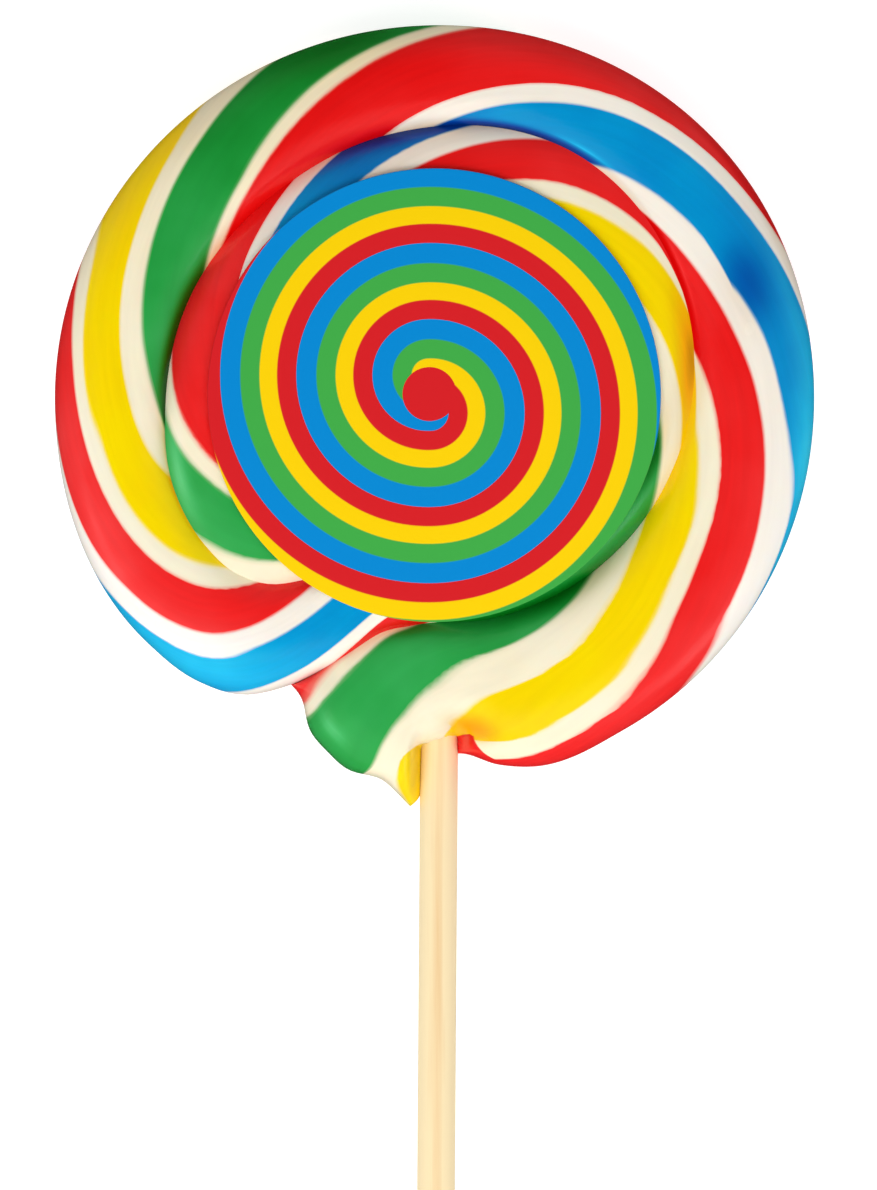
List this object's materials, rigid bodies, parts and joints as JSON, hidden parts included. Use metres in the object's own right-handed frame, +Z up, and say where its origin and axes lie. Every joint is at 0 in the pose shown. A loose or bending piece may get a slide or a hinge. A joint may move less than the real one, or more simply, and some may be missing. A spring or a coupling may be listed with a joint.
{
  "type": "swirl lollipop",
  "caption": "Flat swirl lollipop lying face up: a twisted striped rope of hard candy coiled round itself, on a round wooden stick, with a round paper label on its middle.",
  "frame": {"origin": "on the resting plane, under the middle of the candy", "axes": "+Z up out of the face, -Y along the stick to its free end, +X to the right seen from above"},
  "size_m": [0.0905, 0.1869, 0.0137],
  "materials": {
    "sugar": "glossy pulled hard candy in blue, red, green and yellow stripes with white between them",
    "birch": "smooth unvarnished birch",
    "card": "satin coated card printed with a plain four-colour swirl"
  },
  "bodies": {
    "root": {"candy": "sugar", "stick": "birch", "label": "card"}
  },
  "joints": []
}
